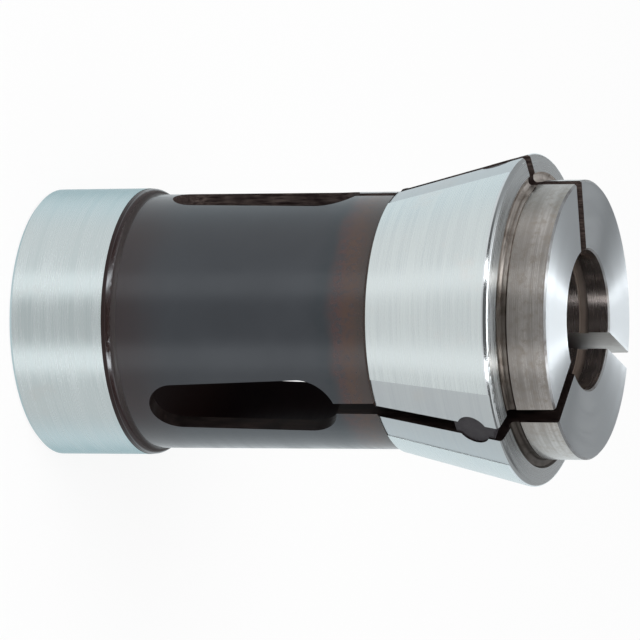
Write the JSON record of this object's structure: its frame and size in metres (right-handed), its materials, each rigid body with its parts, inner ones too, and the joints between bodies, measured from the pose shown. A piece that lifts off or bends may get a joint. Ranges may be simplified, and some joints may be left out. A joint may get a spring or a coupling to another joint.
{
  "type": "push-type collet",
  "caption": "Hollow push-type clamping collet with a ground guide ring, windowed spring sleeve, slotted cone head, cylindrical nose and rubber slot plugs.",
  "frame": {"origin": "centre of the rear face, on the collet's axis", "axes": "+Z along the axis, towards the nose; +X through the middle of the first slot"},
  "size_m": [0.0586, 0.0586, 0.1003],
  "materials": {
    "steel": "hardened steel: ground bright on the guide ring, cone and nose, black oxide on the spring sleeve",
    "rubber": "matt dark grey moulded rubber"
  },
  "bodies": {
    "root": {"collet_body": "steel", "slot_plug_1": "rubber", "slot_plug_2": "rubber", "slot_plug_3": "rubber"}
  },
  "joints": []
}
